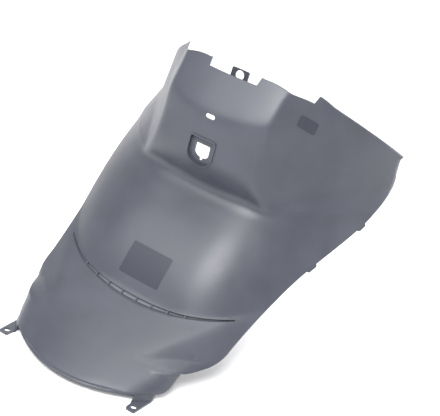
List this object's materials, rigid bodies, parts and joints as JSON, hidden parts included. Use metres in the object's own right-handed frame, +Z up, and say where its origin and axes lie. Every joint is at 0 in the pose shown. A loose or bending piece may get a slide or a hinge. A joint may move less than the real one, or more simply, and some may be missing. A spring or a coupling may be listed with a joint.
{
  "type": "scooter leg shield",
  "caption": "Moulded inner leg shield for a motor scooter, with an ignition opening, a knee bulge, a curved vent and a flared foot held by floor lugs.",
  "frame": {"origin": "midway between the two floor screw holes, on top of their lugs", "axes": "+Z up as fitted on the scooter, rider on the -Y side, X across the scooter"},
  "size_m": [0.399, 0.4545, 0.3723],
  "materials": {
    "panel": "fine-grained moulded plastic"
  },
  "bodies": {
    "root": {"leg_shield": "panel"}
  },
  "joints": []
}
